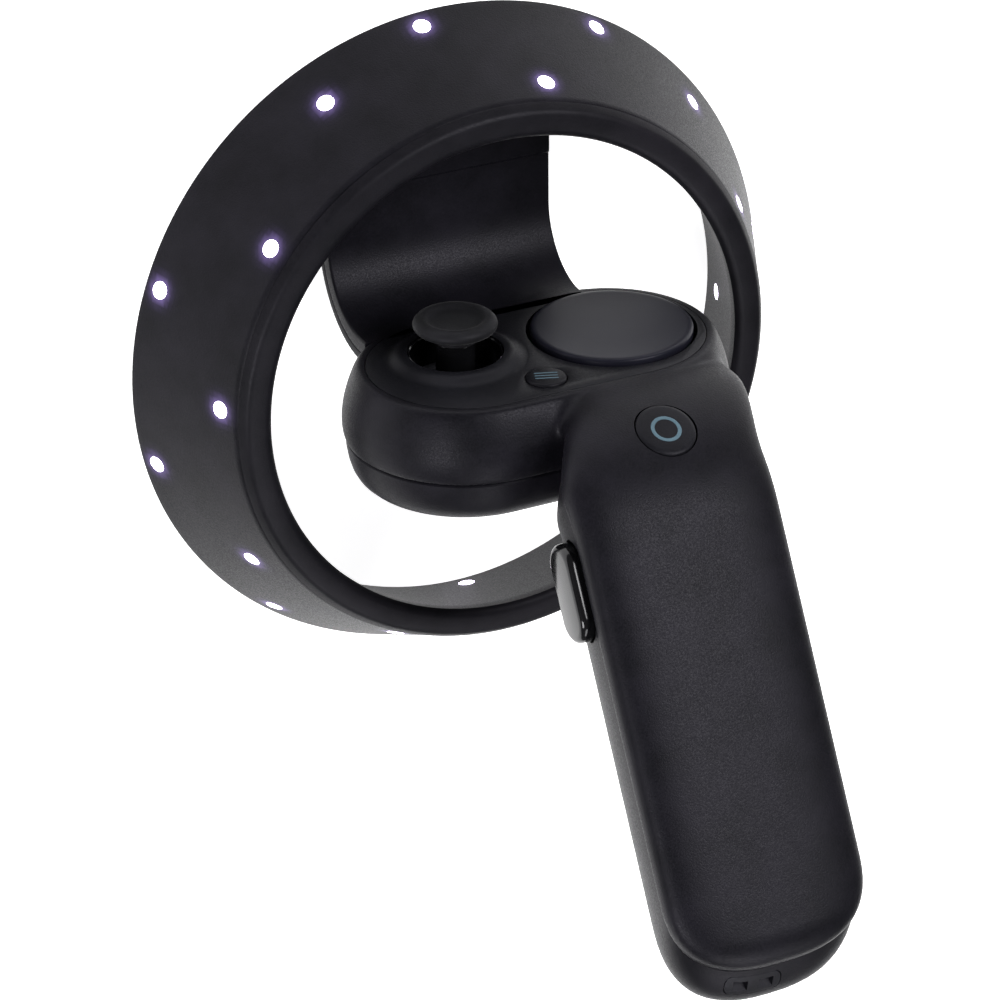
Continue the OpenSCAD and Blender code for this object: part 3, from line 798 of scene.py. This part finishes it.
# ---------- the head and the handle ----------
@dataclass
class Handle:
    """The face shell, which is head, bend and handle in one, with the shells behind it."""

    lobe_x: float = 13.2
    plate_r: float = 16.6
    half_width: float = 18.0
    crown: float = 5.0
    depth: float = 24.0
    face_square: float = 3.0
    back_square: float = 2.0
    back_inset: float = 0.5
    shoulder_inset: float = 6.5
    shoulder_outset: float = 3.8
    shoulder_end: float = 42.0
    face_end: float = 72.6
    face_roll: float = 6.0
    tail_end: float = 78.0
    tail_depth: float = 12.0
    tail_start: float = 48.0
    corner: float = 14.0
    corner_square: float = 2.5
    door_top: float = 8.0
    door_depth: float = 16.0
    skin: float = 0.5
    wall: float = 1.8

    def stadium(self, radius: float, count: int = 128) -> Profile:
        """Gives the head's outline: two round ends with straight sides.

        Args:
            radius: Radius of the ends, in mm.
            count: Number of points.

        Returns:
            The outline's points.
        """
        half = count // 2
        points: Profile = []
        for side in (1, -1):
            for k in range(half):
                turn = math.pi * k / (half - 1) - math.pi / 2
                x, y = self.lobe_x + radius * math.cos(turn), radius * math.sin(turn)
                points.append((side * x, side * y))
        return points

    def lobe(self, name: str, profile: Profile) -> bpy.types.Object:
        """Lofts the head's outline through a profile of radius and height.

        Args:
            name: The piece's name.
            profile: Radius and height of each ring, in mm.

        Returns:
            The solid.
        """
        return loft(
            name, [[HEAD @ Vector((x, y, z)) for x, y in self.stadium(r)] for r, z in profile]
        )

    def arch(self, half: float, high: float, side: int, count: int) -> Profile:
        """Gives half a superellipse.

        Args:
            half: Half its width, in mm.
            high: Its height, in mm.
            side: 1 over the face, -1 round the back.
            count: Number of steps.

        Returns:
            The curve's points.
        """
        square = self.face_square if side > 0 else self.back_square
        points: Profile = []
        for k in range(count + 1):
            turn = math.pi * k / count
            c, s = math.cos(turn), math.sin(turn)
            x = half * math.copysign(abs(c) ** (2 / square), c)
            points.append((x, side * high * abs(s) ** (2 / square)))
        return points

    def crown_ring(self, half: float, high: float) -> Profile:
        """Gives the face's section: its crown, closed by a flat underside.

        Args:
            half: Half its width, in mm.
            high: The crown's height, in mm.

        Returns:
            The section's points.
        """
        top = [(x, y - self.crown) for x, y in self.arch(half, high, 1, 56)]
        under = [(-half + 2 * half * k / 8, -self.crown - 0.6) for k in range(9)]
        return top + under

    def face(self) -> bpy.types.Object:
        """Joins head, bend and face into one skin with soft hollows where they meet.

        Returns:
            The skin, still without its openings.
        """
        body = self.lobe(
            "face_shell_skin",
            [(20.35, -12.25), (20.62, -11.4), (20.78, -10.2), (20.78, -8.6), (20.5, -6.5),
             (19.9, -4.2), (19.2, -2.2), (18.75, -1.15), (18.4, -0.55), (17.95, -0.15), (17.4, 0.0)],
        )  # fmt: skip
        rings = []
        plain = self.crown_ring(self.half_width, self.crown)
        rings.append([along_bend(0, -9.0) @ Vector((self.shoulder(x, 0), y, 0)) for x, y in plain])
        for k in range(31):
            place, turn = along_bend(TILT * k / 30), TILT * k / 30
            rings.append([place @ Vector((self.shoulder(x, turn), y, 0)) for x, y in plain])
        for z in (10.0, 22.0, 34.0, 46.0, 58.0):
            rings.append([GRIP @ Vector((x, y, z)) for x, y in plain])
        for k in range(1, 15):
            turn = math.pi / 2 * k / 14
            z = 58 + (self.face_end - 58) * math.sin(turn)
            half = self.half_width * max(self.narrowing(z, self.face_end), 0.02)
            drop = max(z - self.face_end + self.face_roll, 0.0) / self.face_roll
            high = self.crown * max(1 - drop**2.2, 0.001) ** (1 / 2.2)
            rings.append([GRIP @ Vector((x, y, z)) for x, y in self.crown_ring(half, high)])
        combine(body, loft("bend", rings), Join.ADD)
        remesh(body, self.skin)
        relax(body, 4)
        relax(body, 60, self.meeting)
        return body

    def shoulder(self, x: float, degrees: float) -> float:
        """Draws the handle's left side in near the head, and its right side out to the right lobe.

        Args:
            x: Place across the handle, in mm.
            degrees: Angle round the bend.

        Returns:
            The place that it moves to, in mm.
        """
        rise = min(degrees / self.shoulder_end, 1.0)
        change = self.shoulder_outset if x > 0 else -self.shoulder_inset
        return x * (1 + change * (1 - rise * rise * (3 - 2 * rise)) / self.half_width)

    def meeting(self, point: Vector) -> float:
        """Tells how near a point is to the line where the head's side meets the bend.

        Args:
            point: The point, in metres.

        Returns:
            From 0, away from the line, to 1 on it.
        """
        x, y, z = HEAD.inverted() @ point
        if not -12.2 < z < -0.6:
            return 0.0
        beside = max(abs(x) - self.lobe_x, 0.0)
        off_head = abs(math.hypot(beside, y) - 20.2)
        radius = math.hypot(y - BEND_Y, z + BEND_R)
        off_bend = abs(radius - BEND_R + 1.0) if y < BEND_Y else 99.0
        edge = BEND_X - self.half_width + self.shoulder_inset
        side = min(abs(x - edge), abs(x - BEND_X - self.half_width - self.shoulder_outset))
        near = max(off_head, min(side, off_bend))
        fade = min(max((4.0 - near) / 3.0, 0.0), 1.0)
        return fade * min(max((z + 12.2) / 1.5, 0.0), 1.0)

    def back_ring(self) -> Profile:
        """Gives the section of the handle's back, with a flat front under the face.

        Returns:
            The section's points.
        """
        level = -self.crown - 0.15
        half = self.half_width - self.back_inset
        back = [(x, y + level) for x, y in self.arch(half, self.depth, -1, 72)]
        front = [(-half + half * k / 6, level) for k in range(1, 12)]
        return back + front

    def narrowing(self, z: float, end: float) -> float:
        """Gives how wide the handle still is at a place near one of its ends, from 1 to 0."""
        share = min(max((z - end + self.corner) / self.corner, 0.0), 1.0)
        return (1 - share**self.corner_square) ** (1 / self.corner_square)

    def reach(self, depth: float) -> float:
        """Gives how far down the handle its tail reaches at one depth behind the face.

        Args:
            depth: Depth behind the face, in mm.

        Returns:
            Distance down the handle, in mm.
        """
        if depth < self.tail_depth:
            return self.tail_end - 0.11 * (self.tail_depth - depth) ** 2
        fall = min((depth - self.tail_depth) / (self.depth + self.crown - self.tail_depth + 0.2), 1.0)
        return self.tail_end - 28.0 * (1 - math.sqrt(1 - fall**2))

    def tail(self, x: float, y: float, turn: float) -> Vector:
        """Places one point of the section as the handle's end closes round it.

        Args:
            x: Place across the section, in mm.
            y: Place out of the face, in mm.
            turn: How far the end has closed, up to a quarter turn.

        Returns:
            The point, in the handle's millimetres.
        """
        end = self.reach(-y)
        z = self.tail_start + (end - self.tail_start) * math.sin(turn)
        return Vector((x * self.narrowing(z, end), y, z))

    def back(self) -> bpy.types.Object:
        """Lofts the whole back, from inside the head to the rounded tail.

        Returns:
            Body and battery door in one solid.
        """
        section = self.back_ring()
        rings = []
        for k in range(1, 24):
            place, turn = along_bend(TILT * k / 24), TILT * k / 24
            rings.append([place @ Vector((self.shoulder(x, turn), y, 0)) for x, y in section])
        rings += [[GRIP @ Vector((x, y, z)) for x, y in section] for z in (0.0, 16.0, 32.0, 40.0)]
        for k in range(25):
            rings.append([GRIP @ self.tail(x, y, math.pi / 2 * k / 24) for x, y in section])
        return loft("handle_back", rings, 1e-6)

    def cavity(self) -> bpy.types.Object:
        """Gives the room inside the handle: its own section a wall's thickness smaller.

        Returns:
            The room's solid.
        """
        inner = replace(
            self,
            crown=self.crown - 1.0,
            depth=self.depth + 1.0 - self.wall,
            back_inset=self.back_inset + self.wall,
            tail_start=36.0,
            tail_end=66.0,
        )
        section = inner.back_ring()
        rings = [[GRIP @ Vector((x, y, z)) for x, y in section] for z in (7.4, 16.0, 28.0)]
        for k in range(25):
            rings.append([GRIP @ inner.tail(x, y, math.pi / 2 * k / 24) for x, y in section])
        return loft("cavity", rings, 1e-6)

    def side_slot(self) -> bpy.types.Object:
        """Gives the slot's solid for the button in the handle's side."""
        return GripButton().pill("slot", 0.3, -25.0, -14.7)

    def door_zone(self, gap: float) -> bpy.types.Object:
        """Gives the block of space that the battery door takes."""
        seam = -self.door_depth - gap
        square = [(-30.0, -60.0), (30.0, -60.0), (30.0, seam), (-30.0, seam)]
        return prism("door_zone", square, self.door_top + gap, 95.0, GRIP)

    def build(self) -> None:
        """Builds the face shell, the head's lower shell, the handle's body and the door."""
        face = name_piece(self.face(), "face_and_head")
        combine(face, prism("plate_room", self.stadium(self.plate_r + 0.14), -2.5, 3.0, HEAD), Join.CUT)
        combine(face, prism("head_room", self.stadium(15.6), -16.0, -2.0, HEAD), Join.CUT)
        circle = [(r, z) for r, z in ((0, -4.0), (5.3, -4.0), (5.3, 4.0), (0, 4.0))]
        combine(face, spun("home_room", circle, HomeButton().place(), 96), Join.CUT)
        combine(face, self.trigger_room(), Join.CUT)
        dress(face, SHELL, "casing", ["face_shell"])
        lower = self.lobe(
            "head_underside",
            [(19.2, -11.9), (20.0, -12.5), (20.2, -12.72), (20.15, -14.0), (19.85, -15.8), (19.4, -17.3),
             (18.75, -18.5), (17.8, -19.4), (16.6, -20.0), (15.0, -20.4), (13.0, -20.5)],
        )  # fmt: skip
        combine(lower, prism("lower_room", self.stadium(16.6), -18.8, -11.0, HEAD), Join.CUT)
        combine(lower, self.trigger_room(), Join.CUT)
        dress(lower, SHELL, "casing", ["head_lower_shell"])
        body = self.back()
        combine(body, self.cavity(), Join.CUT)
        door = copy_piece(body, Matrix.Identity(4))
        combine(door, self.door_zone(0.25), Join.KEEP)
        combine(body, self.door_zone(0.0), Join.CUT)
        combine(body, self.side_slot(), Join.CUT)
        combine(body, StrapBar().panel("strap_room", 0.12, 69.0), Join.CUT)
        screws = ShellScrews()
        for spot in screws.places():
            combine(body, screws.counterbore(spot), Join.CUT)
        dress(name_piece(body, "handle_sides"), SATIN, "casing", ["handle_body"])
        dress(name_piece(door, "battery_cover"), SHELL, "door", ["battery_door"])

    def trigger_room(self) -> bpy.types.Object:
        """Gives the slot's solid for the trigger in the head's far side."""
        outline = rounded([(0.4, 10.5, 1.0), (16.6, 10.5, 1.0), (16.6, 40.0, 0), (0.4, 40.0, 0)])
        return prism("trigger_room", outline, -24.0, -6.9, HEAD)


# ---------- controls ----------
@dataclass
class ControlPlate:
    """The plate in the head's top, with the thumbstick's raised collar and well."""

    stick: tuple[float, float] = (-13.6, 3.0)
    pad: tuple[float, float] = (14.4, 0.8)
    menu: tuple[float, float] = (-3.7, -11.0)
    well_r: float = 8.1
    collar: float = 1.2

    def build(self) -> None:
        """Builds the plate with its openings, and the well's glossy liner."""
        place = HEAD @ Matrix.Translation((*self.stick, 0))
        plate = prism("control_plate_moulding", Handle().stadium(16.6), -1.8, 0.0, HEAD)
        rise = [(0, -1.2), (12.3, -1.2), (12.3, -0.01), (11.6, 0.05), (10.9, 0.3), (10.3, 0.68)]
        rise += [(9.8, 0.98), (9.3, self.collar - 0.04), (8.9, self.collar), (0, self.collar)]
        combine(plate, spun("collar", rise, place, 128), Join.ADD)
        for (x, y), radius in ((self.stick, self.well_r), (self.pad, 14.5), (self.menu, 3.6)):
            hole = [(0, -8), (radius, -8), (radius, 8), (0, 8)]
            middle = HEAD @ Matrix.Translation((x, y, 0))
            combine(plate, spun("hole", hole, middle, 128), Join.CUT)
        soften(plate, 0.22, 2, 50)
        dress(plate, SOFT, "casing", ["control_plate"])
        liner = [(8.05, -4.3), (8.05, 0.85), (7.85, 0.98), (7.65, 0.8), (7.5, -1.0), (7.6, -4.3)]
        dress(spun("well_liner", liner, place, 96), GLOSS, "casing")


@dataclass
class Touchpad:
    """The round clicking touchpad."""

    radius: float = 13.8

    def build(self) -> None:
        """Turns the pad's cap, a little dished inside a rolled edge."""
        r = self.radius
        outline = [(0, -0.7), (r, -0.7), (r, 0.4), (r - 0.08, 0.62), (r - 0.28, 0.79), (r - 0.6, 0.85)]
        outline += [(r - 1.2, 0.83), (r - 2.2, 0.77), (r * 0.5, 0.69), (0, 0.65)]
        place = HEAD @ Matrix.Translation((*ControlPlate().pad, 0))
        dress(spun("touchpad_surface", outline, place, 160), TOUCHPAD, "touchpad", ["touchpad_cap"])


@dataclass
class Thumbstick:
    """The stick's rubber cap on its ball."""

    top: float = 7.4
    ball: float = 6.2
    pivot: float = -8.0

    def build(self) -> None:
        """Turns the cap with its rolled rim, and the ball with its neck."""
        place = HEAD @ Matrix.Translation((*ControlPlate().stick, 0))
        cap = [(0, -1.0), (3.2, -0.95), (4.1, -0.8), (4.6, -0.5), (4.9, -0.2), (5.2, -0.04), (5.6, 0.0)]
        cap += [(6.1, -0.08), (6.6, -0.35), (6.95, -0.75), (7.1, -1.2), (7.02, -1.65), (6.7, -2.05)]
        cap += [(6.1, -2.4), (5.0, -2.75), (4.1, -3.05), (3.8, -3.5), (3.8, -4.0)]
        cap += [(2.2, -4.0), (2.2, -2), (0, -2)]
        piece = spun("stick_rubber_cap", cap, place @ Matrix.Translation((0, 0, self.top)), 128)
        dress(piece, RUBBER, "stick", ["stick_cap"])
        ball = [(0, -2.52)]
        for degrees in range(-24, 57, 4):
            turn = math.radians(degrees)
            ball.append((self.ball * math.cos(turn), self.ball * math.sin(turn)))
        ball += [(3.35, 5.6), (3.3, 7.0), (3.3, 11.0), (3.1, 11.3), (2.15, 11.3), (2.15, 13.35), (0, 13.35)]
        stem = spun("stick_ball_and_neck", ball, place @ Matrix.Translation((0, 0, self.pivot)), 96)
        dress(stem, GLOSS, "stick", ["stick_stem"])


@dataclass
class MenuButton:
    """The small round button with three plain bars."""

    radius: float = 3.4
    top: float = 0.5
    bar_length: float = 3.9
    bar_width: float = 0.3
    bar_gap: float = 0.95
    bar_turn: float = -20.0

    def build(self) -> None:
        """Turns the button and prints the bars on it."""
        place = HEAD @ Matrix.Translation((*ControlPlate().menu, 0))
        r = self.radius
        outline = [(0, -2.6), (2, -2.6), (2, -1.7), (r, -1.7), (r, 0.1), (r - 0.1, 0.28)]
        outline += [(r - 0.35, 0.42), (r - 0.8, 0.48), (0, self.top)]
        dress(spun("menu_button_cap", outline, place, 96), SOFT, "menu_key", ["menu_button"])
        bars = []
        for row in (-1, 0, 1):
            half, thin = self.bar_length / 2, self.bar_width / 2
            corners = ((-half, -thin), (half, -thin), (half, thin), (-half, thin))
            across = rounded([(x, y, thin * 0.8) for x, y in corners], 3)
            shift = place @ Matrix.Rotation(math.radians(self.bar_turn), 4, "Z")
            shift = shift @ Matrix.Translation((0, row * self.bar_gap, 0))
            bars.append(prism("bar", across, self.top - 0.08, self.top + 0.02, shift))
        dress(merge_pieces("menu_button_bars", bars), INK, "menu_key")


@dataclass
class HomeButton:
    """The round button on the bend, with a plain printed ring."""

    radius: float = 5.1
    angle: float = 27.0
    across: float = 1.7

    def place(self) -> Matrix:
        """Gives the button's frame, with +Z out of the bend."""
        shift = Matrix.Translation((self.across, 0, 0))
        return along_bend(self.angle) @ shift @ Matrix.Rotation(-math.pi / 2, 4, "X")

    def build(self) -> None:
        """Turns the button with its groove, and the ring that fills the groove."""
        r = self.radius
        outline = [(0, -2.6), (2, -2.6), (2, -1.8), (r, -1.8), (r, -0.45), (r - 0.1, -0.2), (r - 0.35, -0.03)]
        outline += [(r - 0.8, 0.03), (2.6, 0.08), (2.6, -0.3), (1.9, -0.3), (1.9, 0.09), (0, 0.1)]
        dress(spun("home_button_cap", outline, self.place(), 128), SOFT, "home_key", ["home_button"])
        mark = rounded([(1.92, -0.3, 0), (2.58, -0.3, 0), (2.58, 0.06, 0.04), (1.92, 0.06, 0.04)], 2)
        dress(spun("home_button_mark", mark, self.place(), 96), INK, "home_key", ["home_button_ring"])


@dataclass
class GripButton:
    """The long glossy button in the handle's side."""

    low: float = -1.6
    high: float = 14.9
    front: float = -6.5
    back: float = -14.5

    def pill(self, name: str, grow: float, start: float, end: float) -> bpy.types.Object:
        """Extrudes the button's rounded outline across the handle.

        Args:
            name: The piece's name.
            grow: Extra size all round, in mm.
            start: Where it begins across the handle, in mm.
            end: Where it ends, in mm.

        Returns:
            The solid.
        """
        radius = (self.front - self.back) / 2
        middle = (self.front + self.back) / 2
        points: Profile = []
        for z, begin in ((self.high - radius, 0.0), (self.low + radius, math.pi)):
            for k in range(25):
                turn = begin + math.pi * k / 24
                arm = radius + grow
                points.append((middle + arm * math.cos(turn), z + arm * math.sin(turn)))
        rings = [[GRIP @ Vector((x, y, z)) for y, z in points] for x in (start, end)]
        return loft(name, rings)

    def build(self) -> None:
        """Builds the button with its rounded outer edge."""
        button = self.pill("grip_button_cap", 0.0, -19.8, -16.2)
        soften(button, 1.1, 4, 50)
        dress(button, GLOSS, "grip_key", ["grip_button"], 40)


@dataclass
class Trigger:
    """The finger lever under the head's far side."""

    left: float = 1.0
    right: float = 16.0

    def slab(
        self, name: str, corners: Sequence[tuple[float, float, float]], low: float, high: float
    ) -> bpy.types.Object:
        """Extrudes a side outline of the lever between two places across it."""
        outline = rounded(corners, 8)
        return loft(name, [[HEAD @ Vector((x, y, z)) for y, z in outline] for x in (low, high)])

    def build(self) -> None:
        """Builds the blade, the web and the hub as one lever."""
        blade = self.slab(
            "trigger_lever_blade",
            [(17, -9.0, 0.6), (21.6, -8.5, 1.4), (23.4, -12.5, 5.0), (22.7, -20.0, 9.0), (25.6, -29.5, 1.6),
             (24.6, -31.9, 1.0), (22.6, -31.4, 1.0), (18.4, -23.5, 5.0), (17, -19.5, 2.0)],
            self.left,
            self.right,
        )  # fmt: skip
        soften(blade, 1.0, 4, 40)
        web_side = [(12.5, -11.5, 2.9), (18, -12, 0), (18, -19, 0), (12.5, -17.5, 2.9)]
        web = self.slab("web", web_side, 3.5, 13.5)
        combine(blade, web, Join.ADD)
        bore = HEAD @ Matrix.Translation((0, 12.5, -14.5)) @ Matrix.Rotation(math.pi / 2, 4, "Y")
        hole = [(0, -40), (1.05, -40), (1.05, 40), (0, 40)]
        combine(blade, spun("bore", hole, bore, 48), Join.CUT)
        dress(blade, SOFT, "trigger_lever", ["trigger"], 40)


@dataclass
class StrapBar:
    """The bar at the handle's end that a wrist strap's cord goes round."""

    middle: float = -4.4

    def panel(self, name: str, grow: float, low: float) -> bpy.types.Object:
        """Gives the block that the bar is cut from, grown by a gap all round.

        Args:
            name: The piece's name.
            grow: The gap, in mm.
            low: Where it begins down the handle, in mm.

        Returns:
            The block.
        """
        x, half = self.middle, 5.0 + grow
        near, far = -5.9 + grow, -8.6 - grow
        corners = [(x - half, far, 1.2), (x + half, far, 1.2), (x + half, near, 1.2), (x - half, near, 1.2)]
        return prism(name, rounded(corners), low, 84.0, GRIP)

    def build(self) -> None:
        """Builds the bar flush with the handle's end, with its two slots."""
        bar = self.panel("strap_anchor", 0.0, 69.1)
        combine(bar, Handle().back(), Join.KEEP)
        for side in (-2.3, 2.3):
            x = self.middle + side
            slot = [(x - 1.3, -8.0), (x + 1.3, -8.0), (x + 1.3, -6.5), (x - 1.3, -6.5)]
            combine(bar, prism("slot", slot, 71.5, 90.0, GRIP), Join.CUT)
        dress(bar, SOFT, "casing", ["strap_bar"])


@dataclass
class ShellScrews:
    """The two screws just above the battery door's top edge, each in its counterbore."""

    across: float = 8.0
    deep: float = 24.2
    down: float = 4.5
    shank: float = 1.0
    head: float = 1.9
    room: float = 2.1
    room_deep: float = 6.0

    def counterbore(self, spot: Matrix) -> bpy.types.Object:
        """Gives the round room that one screw's head sits in."""
        outline = [(0, 0), (self.room, 0), (self.room, self.room_deep), (0, self.room_deep)]
        return spun("screw_room", outline, spot)

    def places(self) -> list[Matrix]:
        """Gives each screw's frame, with +Z out of the handle's back."""
        turn = Matrix.Rotation(math.radians(90), 4, "X")
        spots = [(x, -self.deep, self.down) for x in (-self.across, self.across)]
        return [GRIP @ Matrix.Translation(spot) @ turn for spot in spots]

    def build(self) -> None:
        """Builds both screws as one piece: shanks, and heads with a cross recess."""
        outline = [(0, -9.0), (self.shank, -9.0), (self.shank, 0.02), (self.head, 0.02)]
        outline += [(self.head, 0.9), (self.head - 0.3, 1.15), (0, 1.15)]
        screws = []
        for spot in self.places():
            screw = spun("screw", outline, spot, 48)
            for w, h in ((1.2, 0.2), (0.2, 1.2)):
                cross = [(-w, -h), (w, -h), (w, h), (-w, h)]
                combine(screw, prism("cross", cross, 0.6, 2.0, spot), Join.CUT)
            screws.append(screw)
        dress(merge_pieces("closing_screws", screws), STEEL, "casing", ["shell_screws"])


# ---------- parts that keep their own shape ----------
@dataclass
class Works:
    """The hidden works, which keep the shapes that the CAD gives them."""

    finishes: dict[str, Moulded] = field(
        default_factory=lambda: {
            "led_flex_strip": FILM,
            "neck_flex_cable": FILM,
            "touchpad_sensor": BOARD,
            "button_board": BOARD,
            "main_board": BOARD,
            "stick_housing": NYLON,
            "stick_carrier": NYLON,
            "stick_gimbal": NYLON,
            "stick_trunnions": GLOSS,
            "trigger_frame": NYLON,
            "battery_tray": NYLON,
            "battery_cell_left": SLEEVE,
            "battery_cell_right": SLEEVE,
            "pairing_button": NYLON,
        }
    )

    def dress(self, nodes: Mapping[str, bpy.types.Object]) -> None:
        """Gives every node that still shows its finish: steel where none is named.

        Args:
            nodes: The CAD's nodes by name.
        """
        for name, obj in sorted(nodes.items()):
            if obj.hide_render:
                continue
            material = self.finishes.get(name, STEEL).build()
            if not obj.material_slots:
                obj.data.materials.append(material)
            for slot in obj.material_slots:
                slot.material = material
            log.info("%s keeps its shape, in %s", name, material.name)


# ---------- studio ----------
@dataclass
class Studio:
    """A pale floor, soft lamps and the camera."""

    eye: tuple[float, float, float] = (0.26404, -0.31201, 0.57315)
    right: tuple[float, float, float] = (-0.90063, 0.00986, 0.43448)
    down: tuple[float, float, float] = (0.21242, 0.88216, 0.42031)
    ahead: tuple[float, float, float] = (-0.37914, 0.47084, -0.79659)
    lens: float = 144.0

    def floor(self) -> None:
        """Lays the floor that the ring stands on."""
        start_clean()
        bpy.ops.mesh.primitive_plane_add(size=6.0, location=(0, 0, 0))
        floor = name_piece(bpy.context.object, "studio_floor")
        floor.data.transform(Matrix.Translation((0, 0, -0.0002)))
        paper = Moulded("backdrop_paper", "#f6f6f6", "#f2f2f2", 0.9, grain=2.0, relief=0.0, cloud=400.0)
        material = paper.build()
        shader = next(n for n in material.node_tree.nodes if n.type == "BSDF_PRINCIPLED")
        shader.inputs["Emission Color"].default_value = (1, 1, 1, 1)
        shader.inputs["Emission Strength"].default_value = 0.92
        floor.data.materials.append(material)

    def lamp(self, name: str, spot: Sequence[float], size: float, watts: float, aim: Sequence[float]) -> None:
        """Adds a square softbox that faces a point.

        Args:
            name: The lamp's name.
            spot: Its place, in metres.
            size: Length of its side, in metres.
            watts: Its power.
            aim: The point that it faces.
        """
        data = bpy.data.lights.new(name, "AREA")
        data.size = size
        data.energy = watts
        lamp = bpy.data.objects.new(name, data)
        bpy.context.scene.collection.objects.link(lamp)
        lamp.location = spot
        lamp.rotation_euler = (Vector(aim) - Vector(spot)).to_track_quat("-Z", "Y").to_euler()

    def camera(self) -> None:
        """Sets the camera."""
        data = bpy.data.cameras.new("camera")
        data.lens = self.lens
        data.sensor_width = 36.0
        data.clip_start = 0.01
        camera = bpy.data.objects.new("camera", data)
        bpy.context.scene.collection.objects.link(camera)
        axes = Matrix((self.right, [-d for d in self.down], [-a for a in self.ahead])).transposed()
        camera.matrix_world = Matrix.Translation(self.eye) @ axes.to_4x4()
        bpy.context.scene.camera = camera

    def build(self) -> None:
        """Sets up floor, light and camera."""
        self.floor()
        self.lamp("face_softbox", (-0.42, -0.62, 1.0), 0.6, 16.0, (0, 0, 0.05))
        self.lamp("key_softbox", (0.95, 0.15, 0.85), 0.5, 12.0, (0, 0, 0.05))
        self.lamp("back_softbox", (-0.1, 0.75, 0.9), 0.7, 9.0, (0, 0, 0.05))
        world = bpy.data.worlds.new("studio")
        bpy.context.scene.world = world
        world.use_nodes = True
        world.node_tree.nodes["Background"].inputs["Color"].default_value = (1, 1, 1, 1)
        world.node_tree.nodes["Background"].inputs["Strength"].default_value = 0.2
        bpy.context.scene.view_settings.view_transform = "Standard"
        self.camera()


def main() -> None:
    """Builds the sub-assemblies in order, then the studio."""
    logging.basicConfig(level=logging.INFO, format="%(message)s")
    for part in (
        TrackingRing(),
        Neck(),
        Handle(),
        ControlPlate(),
        Touchpad(),
        Thumbstick(),
        MenuButton(),
        HomeButton(),
        GripButton(),
        Trigger(),
        StrapBar(),
        ShellScrews(),
    ):
        part.build()
    Works().dress(frame["nodes"])
    Studio().build()


if __name__ == "__main__":
    main()
